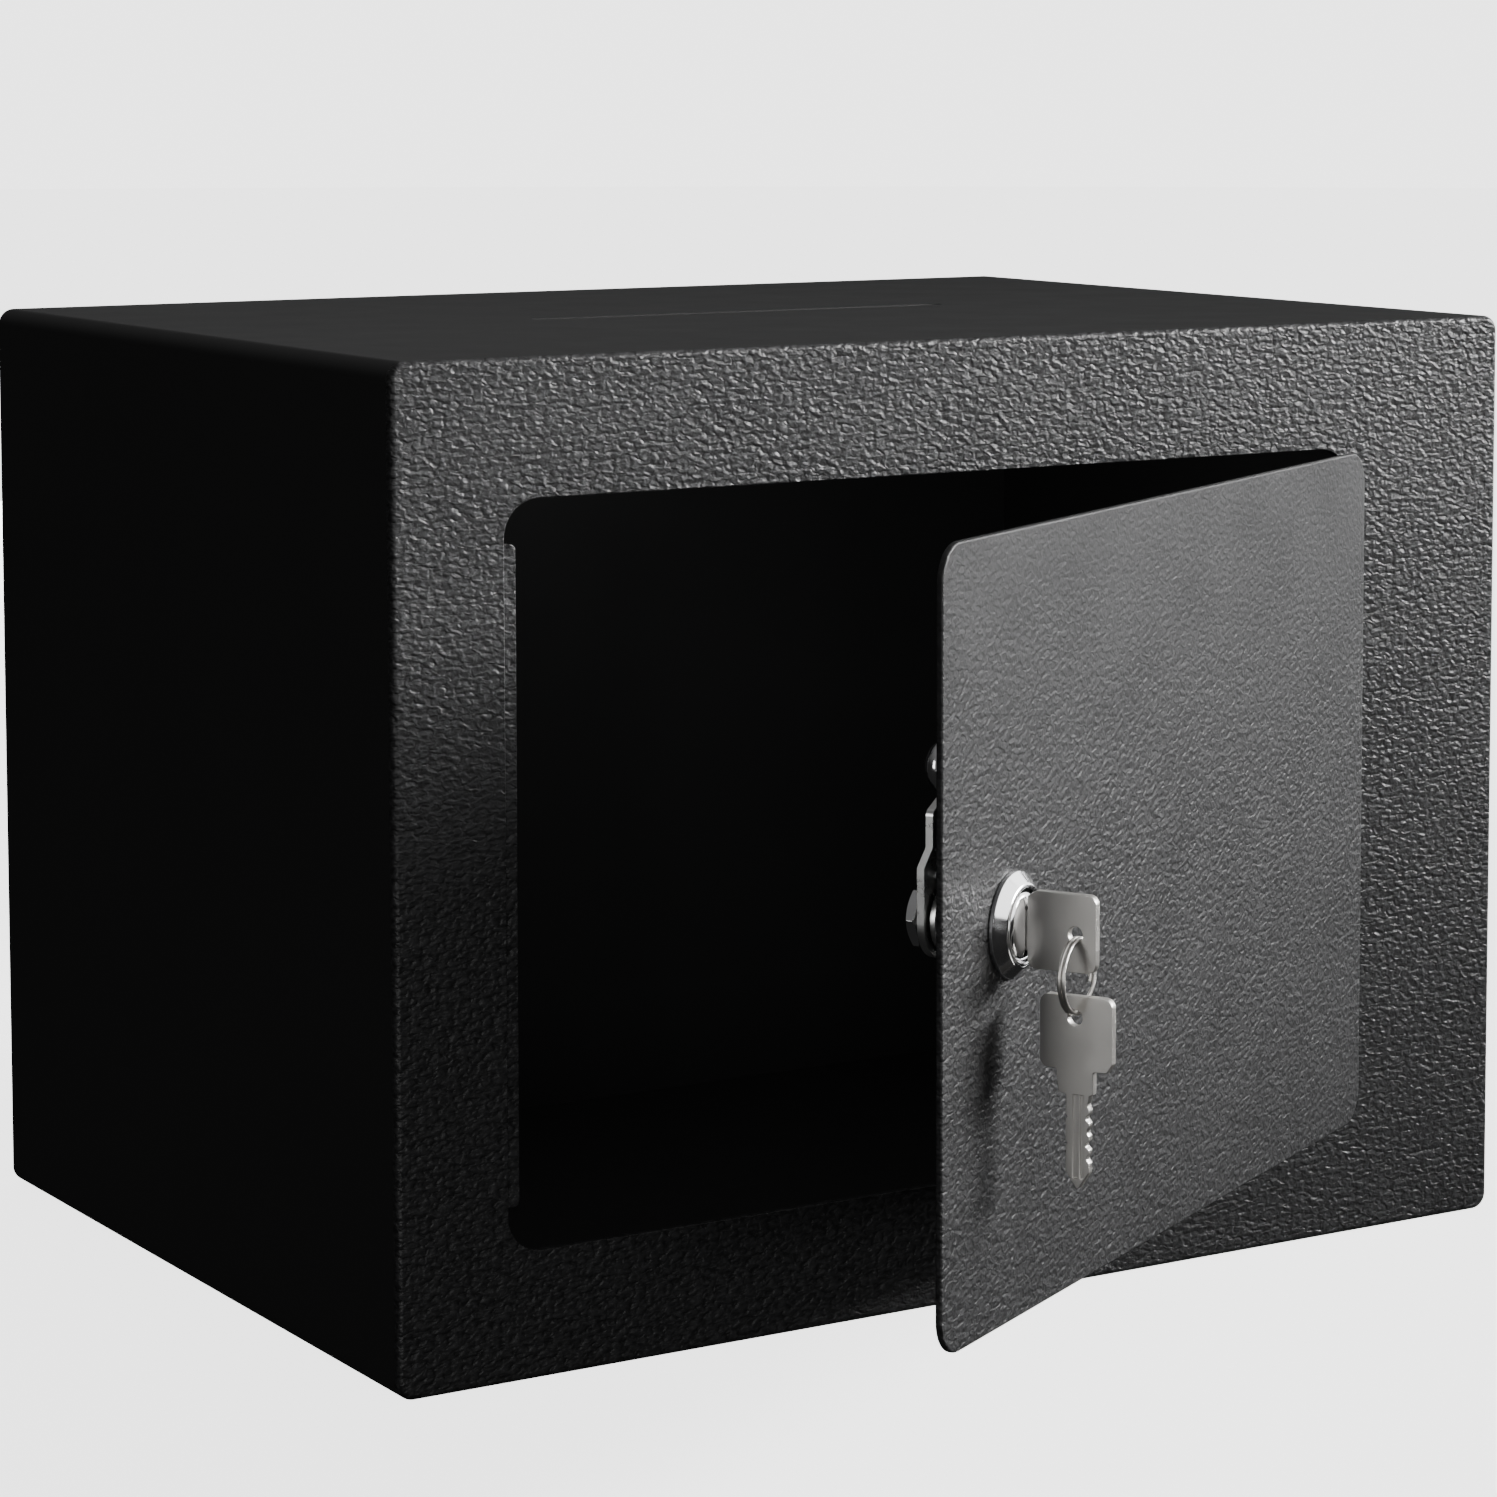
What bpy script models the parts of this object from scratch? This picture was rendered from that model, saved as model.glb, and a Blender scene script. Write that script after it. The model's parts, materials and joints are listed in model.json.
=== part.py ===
"""Small steel key safe with a deposit slot, modelled as the separate pieces it is made of.

The cabinet is a welded sheet-steel sleeve with a front panel and an inset back panel. A plate
door hangs on two concealed gooseneck hinges and stands 30 degrees open. It carries a cam lock
with its key in the plug, and a second key hangs from the first one on a split ring.

Origin: centre of the cabinet's base. +X is to the right seen from the front, +Y is towards the
back and +Z is up. Dimensions are in millimetres and are scaled by MM where meshes are made.
"""

from math import acos, atan2, cos, hypot, pi, radians, sin, sqrt, tau

import bmesh
import bpy
from mathutils import Matrix, Vector

MM = 0.001
GAP = 0.3  # clearance between pieces that touch or are welded on the real safe

# Cabinet
WIDTH, DEPTH, HEIGHT = 230.0, 168.0, 170.0
SHEET = 1.5
LONG_EDGE_R = 3.0
FRONT_EDGE_R = 1.0
BACK_INSET = 4.7
FRONT_Y = -DEPTH / 2
BACK_Y = DEPTH / 2

# Door opening in the front panel
OPENING_LEFT, OPENING_RIGHT = -94.6, 79.6
OPENING_BOTTOM, OPENING_TOP = 21.7, 146.8
OPENING_R = 6.3

# Deposit slot in the top
SLOT_LEFT, SLOT_RIGHT = -42.8, 46.9
SLOT_Y = 2.0
SLOT_WIDTH = 3.0

# Strike strip and latch keeper behind the opening's left edge
STRIP_LEFT, STRIP_RIGHT = -105.0, -91.6
STRIP_BOTTOM, STRIP_TOP = 29.1, 139.3
KEEPER_LEFT, KEEPER_WEB_X, KEEPER_LIP_X = -108.0, -98.0, -88.5
KEEPER_BOTTOM, KEEPER_TOP = 72.0, 98.0
KEEPER_LIP_Y = FRONT_Y + 8.6

# Door
DOOR_LEFT, DOOR_RIGHT = -94.1, 78.6
DOOR_BOTTOM, DOOR_TOP = 22.2, 146.4
DOOR_SHEET = 1.2
DOOR_R = 6.0
DOOR_OPEN = radians(30)

# Hinges
PIVOT_X, PIVOT_Y = 85.1, FRONT_Y + 4.23
HINGE_HEIGHTS = {"upper": 125.0, "lower": 43.0}
ARM_WIDTH = 12.0
ARM_SHEET = 1.2
ARM_FLANGE = 30.0
HOOK_R = 8.55
HOOK_BEND_R = 1.4
EYE_R, EYE_BORE_R = 2.4, 1.3
PIN_R, PIN_HEAD_R = 1.0, 1.9
EAR_SHEET = 1.5

# Lock, in its own frame: +Z is the key's way out, and 0 is the door's front face
LOCK_X, LOCK_Z = -70.1, 85.0
BEZEL_R, BEZEL_NOSE_R, BEZEL_NOSE_Z = 8.4, 6.3, 2.5
BARREL_R, BARREL_END, BARREL_BORE_R, BARREL_FLAT = 6.2, -10.4, 4.3, 5.6
PLUG_HEAD_R, PLUG_FACE_Z, PLUG_R = 5.45, 2.8, 4.0
RECESS_R, RECESS_FLOOR = 5.75, 1.0
TAIL_R, TAIL_FLAT, TAIL_THREAD_R = 3.5, 2.8, 3.1
TAIL_START, TAIL_END, PLUG_END = -10.6, -13.2, -16.5
KEYWAY_WIDTH, KEYWAY_HEIGHT, KEYWAY_FLOOR = 2.1, 4.5, -15.8
MOUTH_FLOOR = -1.3  # the keyway is wider above this, for the key's neck
WAFER_DEPTHS = (-2.4, -4.4, -6.4, -8.4)
WAFER_SHEET, WAFER_SLOT = 0.6, 1.2
WAFER_HALF_WIDTH, WAFER_HALF_HEIGHT, WAFER_WINDOW_HALF = 1.9, 3.5, 2.3
LOCK_WASHER_R, LOCK_WASHER_SHEET = 8.6, 0.7
LOCK_NUT_FLATS, LOCK_NUT_SHEET = 16.0, 3.0
STOP_WASHER_R, STOP_WASHER_FRONT, STOP_WASHER_BACK = 5.2, -10.75, -11.6
STOP_EAR_HALF, STOP_EAR_REACH = 1.5, 6.6
CAM_FRONT, CAM_SHEET, CAM_WIDTH, CAM_OFFSET = -12.0, 1.3, 12.6, 1.5
CAM_BEND_LOW, CAM_BEND_HIGH = 8.7, 12.1
CAM_TIP_SHORT, CAM_TIP_LONG = 17.8, 22.9
CAM_WASHER_R, CAM_WASHER_FRONT, CAM_WASHER_BACK = 4.7, -13.6, -14.1
CAM_NUT_FLATS, CAM_NUT_FRONT, CAM_NUT_BACK = 8.8, -14.4, -16.2

# Weld stud and cap nut on the back of the door
STUD_X, STUD_Z = -84.4, 111.4
STUD_R, STUD_LENGTH = 1.9, 3.5
CAP_SEAT, CAP_SHOULDER, CAP_CROWN, CAP_BORE_END = -2.5, -4.2, -7.4, -5.7
CAP_DOME_R, CAP_FLATS = 4.4, 8.8

# Keys: u runs from the bow's end to the tip, w across, and w = 0 is the blade's middle
KEY_SHEET = 1.5
BOW_LENGTH, BOW_LOW, BOW_HIGH = 11.6, -6.4, 5.8
KEY_LENGTH = 30.1
BLADE_HALF = 1.95
NECK_LENGTH, NECK_LOW, NECK_HIGH = 3.6, -3.6, 2.6
KEY_HOLE_U, KEY_HOLE_W, KEY_HOLE_R = 3.45, -0.46, 1.25
KEY_SEAT_Z = 14.6  # how far the inserted key's bow stands out of the door's face

# Split ring through both keys
RING_R, WIRE_R = 5.76, 0.33
RING_PITCH = 2 * WIRE_R + 0.1
RING_PLAY = 0.2  # between the wire and the edge of a key's hole


def clear_scene():
    for thing in list(bpy.data.objects):
        bpy.data.objects.remove(thing, do_unlink=True)


def metal(name, colour, roughness, metallic):
    material = bpy.data.materials.new(name)
    material.use_nodes = True
    shader = material.node_tree.nodes["Principled BSDF"]
    shader.inputs["Base Color"].default_value = (*colour, 1.0)
    shader.inputs["Roughness"].default_value = roughness
    shader.inputs["Metallic"].default_value = metallic
    return material


def empty(name, parent=None, location=(0, 0, 0), rotation=(0, 0, 0)):
    anchor = bpy.data.objects.new(name, None)
    bpy.context.scene.collection.objects.link(anchor)
    anchor.empty_display_size = 0.01
    anchor.parent = parent
    anchor.location = Vector(location) * MM
    anchor.rotation_euler = rotation
    return anchor


def make(name, bm, material, parent=None, location=(0, 0, 0), rotation=(0, 0, 0)):
    """Turns a bmesh in millimetres into a named object in metres."""
    bmesh.ops.remove_doubles(bm, verts=bm.verts, dist=1e-5)
    bmesh.ops.recalc_face_normals(bm, faces=bm.faces)
    bmesh.ops.scale(bm, verts=bm.verts, vec=(MM, MM, MM))
    mesh = bpy.data.meshes.new(name)
    bm.to_mesh(mesh)
    bm.free()
    mesh.shade_smooth()
    mesh.set_sharp_from_angle(angle=radians(35))
    if material:
        mesh.materials.append(material)
    thing = bpy.data.objects.new(name, mesh)
    bpy.context.scene.collection.objects.link(thing)
    thing.parent = parent
    thing.location = Vector(location) * MM
    thing.rotation_euler = rotation
    return thing


def carve(target, tool_name, bm, operation="DIFFERENCE"):
    """Cuts a helper solid, given in the target's own frame, out of the target or joins it on."""
    helper = make(f"{target.name}_{tool_name}", bm, None, target.parent)
    helper.location = target.location
    helper.rotation_euler = target.rotation_euler
    helper.hide_render = True
    helper.display_type = "WIRE"
    boolean = target.modifiers.new(tool_name, "BOOLEAN")
    boolean.operation = operation
    boolean.solver = "EXACT"
    boolean.object = helper


def arc(centre, radius, start, end, steps):
    """Points along an arc, angles in radians."""
    turns = [start + (end - start) * i / steps for i in range(steps + 1)]
    return [(centre[0] + radius * cos(t), centre[1] + radius * sin(t)) for t in turns]


def rounded_rect(left, low, right, high, radius, steps=6):
    corners = [
        ((right - radius, low + radius), -pi / 2),
        ((right - radius, high - radius), 0.0),
        ((left + radius, high - radius), pi / 2),
        ((left + radius, low + radius), pi),
    ]
    points = []
    for centre, start in corners:
        points += arc(centre, radius, start, start + pi / 2, steps)
    return points


def circle(radius, steps=40, centre=(0.0, 0.0)):
    return arc(centre, radius, 0.0, tau, steps)[:-1]


def flatted_circle(radius, flat, steps=40):
    """A circle with two flats at x = flat and x = -flat."""
    half = acos(flat / radius)
    right = arc((0, 0), radius, half, pi - half, steps // 2)
    left = arc((0, 0), radius, pi + half, tau - half, steps // 2)
    return right + left


def prism(outline, low, high, plane="XY"):
    """Extrudes an outline. XY runs along Z; XZ runs along Y; YZ runs along X."""
    bm = bmesh.new()
    place = {
        "XY": lambda a, b, c: (a, b, c),
        "XZ": lambda a, b, c: (a, c, b),
        "YZ": lambda a, b, c: (c, a, b),
    }[plane]
    bottom = [bm.verts.new(place(a, b, low)) for a, b in outline]
    top = [bm.verts.new(place(a, b, high)) for a, b in outline]
    bm.faces.new(bottom)
    bm.faces.new(top)
    for i in range(len(outline)):
        j = (i + 1) % len(outline)
        bm.faces.new((bottom[i], bottom[j], top[j], top[i]))
    return bm


def loft(loops, closed):
    """Skins rings of equal point count. A closed loft joins the last ring to the first."""
    bm = bmesh.new()
    rings = [[bm.verts.new(point) for point in loop] for loop in loops]
    pairs = list(zip(rings, rings[1:]))
    if closed:
        pairs.append((rings[-1], rings[0]))
    for lower, upper in pairs:
        for i in range(len(lower)):
            j = (i + 1) % len(lower)
            bm.faces.new((lower[i], lower[j], upper[j], upper[i]))
    if not closed:
        bm.faces.new(rings[0])
        bm.faces.new(rings[-1])
    return bm


def turned(profile, steps=40):
    """A turned piece about Z from (radius, z) pairs, closed at both ends on the axis."""
    loops = [[(x, y, z) for x, y in circle(r, steps)] for r, z in profile]
    return loft(loops, closed=False)


def turned_ring(profile, steps=40):
    """A turned piece with a bore: the (radius, z) profile goes all the way round the section."""
    loops = [[(x, y, z) for x, y in circle(r, steps)] for r, z in profile]
    return loft(loops, closed=True)


def box(low, high):
    outline = [(low[0], low[1]), (high[0], low[1]), (high[0], high[1]), (low[0], high[1])]
    return prism(outline, low[2], high[2])


def hexagon(across_flats):
    return circle(across_flats / sqrt(3), 6)


# Cabinet ---------------------------------------------------------------------------------


def cabinet_wrap(paint):
    """Welded sleeve: floor, top and both sides in one bent sheet."""
    outer = rounded_rect(-WIDTH / 2, 0, WIDTH / 2, HEIGHT, LONG_EDGE_R)
    inner = rounded_rect(
        -WIDTH / 2 + SHEET, SHEET, WIDTH / 2 - SHEET, HEIGHT - SHEET, LONG_EDGE_R - SHEET
    )
    front = FRONT_Y + SHEET + GAP
    section = [(outer, front), (outer, BACK_Y), (inner, BACK_Y), (inner, front)]
    wrap = make("cabinet_wrap", loft([[(x, y, z) for x, z in o] for o, y in section], True), paint)
    slot = rounded_rect(
        SLOT_LEFT, SLOT_Y - SLOT_WIDTH / 2, SLOT_RIGHT, SLOT_Y + SLOT_WIDTH / 2,
        SLOT_WIDTH / 2 - 0.01, 4,
    )
    carve(wrap, "deposit_slot", prism(slot, HEIGHT - 3 * SHEET, HEIGHT + SHEET))


def front_panel(paint):
    """Front plate with a rounded outer edge and the door opening."""
    def outer(inset):
        return rounded_rect(
            -WIDTH / 2 + inset, inset, WIDTH / 2 - inset, HEIGHT - inset, LONG_EDGE_R - inset
        )

    opening = rounded_rect(OPENING_LEFT, OPENING_BOTTOM, OPENING_RIGHT, OPENING_TOP, OPENING_R)
    section = []
    for i in range(4):
        turn = pi / 2 * i / 3
        section.append((outer(FRONT_EDGE_R * (1 - sin(turn))), FRONT_Y + FRONT_EDGE_R * (1 - cos(turn))))
    section.append((outer(0), FRONT_Y + SHEET))
    section.append((opening, FRONT_Y + SHEET))
    section.append((opening, FRONT_Y))
    make("front_panel", loft([[(x, y, z) for x, z in o] for o, y in section], True), paint)


def back_panel(paint):
    """Plate welded inside the sleeve's rear end."""
    margin = SHEET + GAP
    outline = rounded_rect(
        -WIDTH / 2 + margin, margin, WIDTH / 2 - margin, HEIGHT - margin, LONG_EDGE_R - margin
    )
    rear = BACK_Y - BACK_INSET
    make("back_panel", prism(outline, rear - SHEET, rear, "XZ"), paint)


def strike_strip(paint):
    """Stop for the door's free edge, welded behind the opening's left side."""
    front = FRONT_Y + SHEET + GAP
    outline = rounded_rect(STRIP_LEFT, STRIP_BOTTOM, STRIP_RIGHT, STRIP_TOP, 1.0, 3)
    make("strike_strip", prism(outline, front, front + SHEET, "XZ"), paint)


def latch_keeper(paint):
    """Z-shaped bracket on the strip's rear face: the cam turns in behind its lip."""
    base = FRONT_Y + 2 * SHEET + 2 * GAP
    lip_back = KEEPER_LIP_Y + SHEET
    outline = [
        (KEEPER_LEFT, base),
        (KEEPER_WEB_X + SHEET, base),
        (KEEPER_WEB_X + SHEET, KEEPER_LIP_Y),
        (KEEPER_LIP_X, KEEPER_LIP_Y),
        (KEEPER_LIP_X, lip_back),
        (KEEPER_WEB_X, lip_back),
        (KEEPER_WEB_X, base + SHEET),
        (KEEPER_LEFT, base + SHEET),
    ]
    make("latch_keeper", prism(outline, KEEPER_BOTTOM, KEEPER_TOP), paint)


def hinge_bracket(which, height, paint):
    """Base plate behind the front panel with two ears that hold the pin. Own origin: the pivot."""
    rear_face = FRONT_Y + SHEET + GAP - PIVOT_Y
    reach, far = 5.0, 21.0
    ear_outline = arc((0, 0), -rear_face, -pi / 2, -3 * pi / 2, 12)
    ear_outline += [(reach + 3, -rear_face), (far, rear_face + EAR_SHEET), (far, rear_face)]
    half = ARM_WIDTH / 2 + GAP
    bracket = make(
        f"hinge_bracket_{which}",
        prism(ear_outline, -half - EAR_SHEET, half + EAR_SHEET),
        paint,
        location=(PIVOT_X, PIVOT_Y, height),
    )
    carve(bracket, "mouth", box((-9, -9, -half), (reach, 9, half)))
    carve(bracket, "bend", box((0, rear_face + EAR_SHEET, -half), (far + 3, 9, half)))
    carve(bracket, "pin_hole", prism(circle(EYE_BORE_R, 24), -3 * half, 3 * half))


def hinge_pin(which, height, steel):
    """Headed pin through the ears and the arm's eye. Own origin: the pivot."""
    top = ARM_WIDTH / 2 + GAP + EAR_SHEET + GAP
    profile = [
        (PIN_R, -top - 0.9),
        (PIN_R, top),
        (PIN_HEAD_R, top),
        (PIN_HEAD_R, top + 0.7),
        (PIN_HEAD_R - 0.5, top + 1.1),
    ]
    make(f"hinge_pin_{which}", turned(profile, 24), steel, location=(PIVOT_X, PIVOT_Y, height))


# Door --------------------------------------------------------------------------------------


def door_panel(door, paint):
    outline = rounded_rect(
        DOOR_LEFT - PIVOT_X, DOOR_BOTTOM, DOOR_RIGHT - PIVOT_X, DOOR_TOP, DOOR_R
    )
    front = FRONT_Y - PIVOT_Y
    panel = make("door_panel", prism(outline, front, front + DOOR_SHEET, "XZ"), paint, door)
    hole = [
        (x + LOCK_X - PIVOT_X, z + LOCK_Z)
        for x, z in flatted_circle(BARREL_R + GAP, BARREL_FLAT + GAP)
    ]
    carve(panel, "lock_hole", prism(hole, front - 5, front + 5, "XZ"))


def hook_centreline():
    """Arm's middle line about the pivot: flange, gooseneck round the panel's edge, leg to the eye."""
    flange_y = FRONT_Y + DOOR_SHEET + GAP + ARM_SHEET / 2 - PIVOT_Y
    bend_y = flange_y + HOOK_BEND_R
    bend_x = -sqrt(HOOK_R**2 - bend_y**2) - HOOK_BEND_R
    crown_y = sqrt((HOOK_R - HOOK_BEND_R) ** 2 - HOOK_BEND_R**2)
    crown_turn = atan2(crown_y, -HOOK_BEND_R)
    path = [(-ARM_FLANGE, flange_y)]
    path += arc((bend_x, bend_y), HOOK_BEND_R, -pi / 2, 0, 4)
    path += arc((0, 0), HOOK_R, pi - atan2(bend_y, sqrt(HOOK_R**2 - bend_y**2)), crown_turn, 14)[1:]
    path += arc((-HOOK_BEND_R, crown_y), HOOK_BEND_R, crown_turn, 0, 5)[1:]
    path.append((0.0, EYE_R - 0.6))
    return path


def strip_outline(path, thickness):
    """Outline of a bent strip: the path offset by half its thickness to both sides."""
    left, right = [], []
    for i, (x, y) in enumerate(path):
        before, after = path[max(i - 1, 0)], path[min(i + 1, len(path) - 1)]
        run = hypot(after[0] - before[0], after[1] - before[1])
        side_x = -(after[1] - before[1]) / run * thickness / 2
        side_y = (after[0] - before[0]) / run * thickness / 2
        left.append((x + side_x, y + side_y))
        right.append((x - side_x, y - side_y))
    return left + right[::-1]


def hinge_arm(which, height, door, paint):
    """Gooseneck strap on the door's back, ending in an eye round the pin."""
    half = ARM_WIDTH / 2
    outline = strip_outline(hook_centreline(), ARM_SHEET)
    arm = make(
        f"hinge_arm_{which}", prism(outline, -half, half), paint, door, location=(0, 0, height)
    )
    carve(arm, "eye", prism(circle(EYE_R, 24), -half, half), "UNION")
    carve(arm, "bore", prism(circle(EYE_BORE_R, 24), -2 * half, 2 * half))


def weld_stud(door, steel):
    back = -DOOR_SHEET - GAP
    profile = [(3.0, back), (3.0, back - 0.4), (STUD_R, back - 0.7), (STUD_R, back - STUD_LENGTH)]
    make("weld_stud", turned(profile, 24), steel, door, (STUD_X - PIVOT_X, FRONT_Y - PIVOT_Y, STUD_Z),
         (pi / 2, 0, 0))


def cap_nut(door, chrome):
    """Domed nut on the stud: hexagon, then a dome closed over the stud's end."""
    nut = make("cap_nut", prism(hexagon(CAP_FLATS), CAP_SHOULDER, CAP_SEAT), chrome, door,
               (STUD_X - PIVOT_X, FRONT_Y - PIVOT_Y, STUD_Z), (pi / 2, 0, 0))
    dome = [(CAP_DOME_R, CAP_SHOULDER + 0.4)]
    flat = 0.15  # the crown's small flat, which closes the turned shape
    for i in range(7):
        turn = pi / 2 * i / 6
        dome.append(((CAP_DOME_R - flat) * cos(turn) + flat,
                     CAP_SHOULDER + (CAP_CROWN - CAP_SHOULDER) * sin(turn)))
    carve(nut, "dome", turned(dome, 32), "UNION")
    bore = turned([(STUD_R + GAP, CAP_SEAT + 2), (STUD_R + GAP, CAP_BORE_END)], 24)
    carve(nut, "thread", bore)


# Lock --------------------------------------------------------------------------------------


def lock_barrel(lock, chrome):
    """Body with a coned bezel in front of the door and a threaded, flatted shank behind it."""
    seat = 0.25
    profile = [
        (BARREL_BORE_R, BARREL_END),
        (BARREL_R, BARREL_END),
        (BARREL_R, seat),
        (BEZEL_R, seat),
        (BEZEL_R, 0.7),
        (BEZEL_R - 0.3, 1.05),
        (BEZEL_NOSE_R + 0.2, BEZEL_NOSE_Z - 0.15),
        (BEZEL_NOSE_R, BEZEL_NOSE_Z),
        (RECESS_R, BEZEL_NOSE_Z),
        (RECESS_R, RECESS_FLOOR),
        (BARREL_BORE_R, RECESS_FLOOR),
    ]
    barrel = make("lock_barrel", turned_ring(profile, 48), chrome, lock)
    for side in (-1, 1):
        low, high = sorted((side * BARREL_FLAT, side * (BARREL_R + 2)))
        carve(barrel, f"flat_{side + 1}", box((low, -9, BARREL_END - 1), (high, 9, seat - 0.01)))


def lock_washer(lock, steel):
    inner, outer, front = BARREL_R + GAP, LOCK_WASHER_R, -DOOR_SHEET - GAP
    back = front - LOCK_WASHER_SHEET
    washer = [(inner, back), (outer, back), (outer, front), (inner, front)]
    make("lock_washer", turned_ring(washer), steel, lock)


def lock_nut(lock, steel):
    front = -DOOR_SHEET - LOCK_WASHER_SHEET - 2 * GAP
    back = front - LOCK_NUT_SHEET
    nut = make("lock_nut", prism(hexagon(LOCK_NUT_FLATS), back, front), steel, lock)
    carve(nut, "thread", prism(circle(BARREL_R + GAP), back - 1, front + 1))


def lock_plug(lock, chrome):
    """Turning core: domed face, cylinder with wafer slots, flatted tail for the cam, thread."""
    profile = [
        (TAIL_THREAD_R - 0.4, PLUG_END),
        (TAIL_THREAD_R, PLUG_END + 0.4),
        (TAIL_THREAD_R, TAIL_END),
        (TAIL_R, TAIL_END),
        (TAIL_R, TAIL_START),
        (PLUG_R, TAIL_START),
        (PLUG_R, RECESS_FLOOR + GAP),
        (PLUG_HEAD_R, RECESS_FLOOR + GAP),
        (PLUG_HEAD_R, 1.75),
        (5.2, 2.2),
        (4.6, 2.55),
        (3.8, 2.75),
        (3.0, PLUG_FACE_Z),
    ]
    plug = make("lock_plug", turned(profile, 40), chrome, lock)
    for side in (-1, 1):
        low, high = sorted((side * TAIL_FLAT, side * (PLUG_R + 2)))
        carve(plug, f"flat_{side + 1}", box((low, -6, PLUG_END - 1), (high, 6, TAIL_START)))
    wide, tall = KEYWAY_WIDTH / 2, KEYWAY_HEIGHT / 2
    carve(plug, "keyway", box((-wide, -tall, KEYWAY_FLOOR), (wide, tall, 5)))
    carve(plug, "mouth", box((-wide, -4.6, MOUTH_FLOOR), (wide, 3.1, 5)))
    for number, depth in enumerate(WAFER_DEPTHS):
        low, high = depth - WAFER_SLOT / 2, depth + WAFER_SLOT / 2
        carve(plug, f"wafer_slot_{number}", box((-2.2, -6, low), (2.2, 6, high)))


def wafer(number, depth, lock, brass):
    """Flat wafer with a window for the blade."""
    low, high = depth - WAFER_SHEET / 2, depth + WAFER_SHEET / 2
    wide, tall, window_wide = WAFER_HALF_WIDTH, WAFER_HALF_HEIGHT, KEYWAY_WIDTH / 2
    outer = rounded_rect(-wide, -tall, wide, tall, 0.5, 2)
    window = rounded_rect(
        -window_wide, -WAFER_WINDOW_HALF, window_wide, WAFER_WINDOW_HALF, 0.2, 2
    )
    loops = [(outer, low), (outer, high), (window, high), (window, low)]
    mesh = loft([[(x, y, z) for x, y in o] for o, z in loops], True)
    make(f"wafer_{number + 1}", mesh, brass, lock)


def stop_washer(lock, steel):
    """Washer on the tail's flats, with the ear that limits the turn."""
    front, back, ear = STOP_WASHER_FRONT, STOP_WASHER_BACK, STOP_EAR_HALF
    washer = make("stop_washer", prism(circle(STOP_WASHER_R), back, front), steel, lock)
    carve(washer, "ear", box((-ear, -STOP_EAR_REACH, back), (ear, -TAIL_R, front)), "UNION")
    carve(washer, "flats", prism(flatted_circle(TAIL_R + GAP, TAIL_FLAT + GAP), back - 1, front + 1))


def lock_cam(lock, steel):
    """Bent bar on the plug's tail. Its slanted tip points up while the door is unlocked."""
    half, front, back = CAM_WIDTH / 2, CAM_FRONT, CAM_FRONT - CAM_SHEET
    side = [
        (-half - 2, back),
        (-half - 2, front),
        (CAM_BEND_LOW, front),
        (CAM_BEND_HIGH, front + CAM_OFFSET),
        (CAM_TIP_LONG + 2, front + CAM_OFFSET),
        (CAM_TIP_LONG + 2, back + CAM_OFFSET),
        (CAM_BEND_HIGH, back + CAM_OFFSET),
        (CAM_BEND_LOW, back),
    ]
    cam = make("lock_cam", prism(side, -half - 2, half + 2, "YZ"), steel, lock)
    plan = arc((0, 0), half, -pi, 0, 16)
    plan += arc((half - 2.5, CAM_TIP_LONG - 3.4), 2.5, 0, pi / 2 + 0.4, 5)
    plan += arc((-half + 1.2, CAM_TIP_SHORT - 0.9), 1.2, pi / 2 + 0.4, pi, 3)
    carve(cam, "plan", prism(plan, -20, 0), "INTERSECT")
    carve(cam, "flats", prism(flatted_circle(TAIL_R + GAP, TAIL_FLAT + GAP), -20, 0))


def cam_spring_washer(lock, steel):
    inner, outer = TAIL_THREAD_R + GAP, CAM_WASHER_R
    front, back = CAM_WASHER_FRONT, CAM_WASHER_BACK
    washer = [(inner, back), (outer, back), (outer, front), (inner, front)]
    make("cam_spring_washer", turned_ring(washer, 32), steel, lock)


def cam_nut(lock, chrome):
    """Low hexagon nut on the tail's thread, its corners turned down to a cone."""
    front, back = CAM_NUT_FRONT, CAM_NUT_BACK
    corner_r, nose_r = CAM_NUT_FLATS / sqrt(3) + 0.1, CAM_NUT_FLATS / 2 - 0.5
    nut = make("cam_nut", prism(hexagon(CAM_NUT_FLATS), back, front), chrome, lock)
    cone = turned([(nose_r, back), (corner_r, (front + back) / 2), (corner_r, front)], 32)
    carve(nut, "cone", cone, "INTERSECT")
    carve(nut, "thread", prism(circle(TAIL_THREAD_R + GAP, 32), back - 1, front + 1))


# Keys --------------------------------------------------------------------------------------


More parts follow.
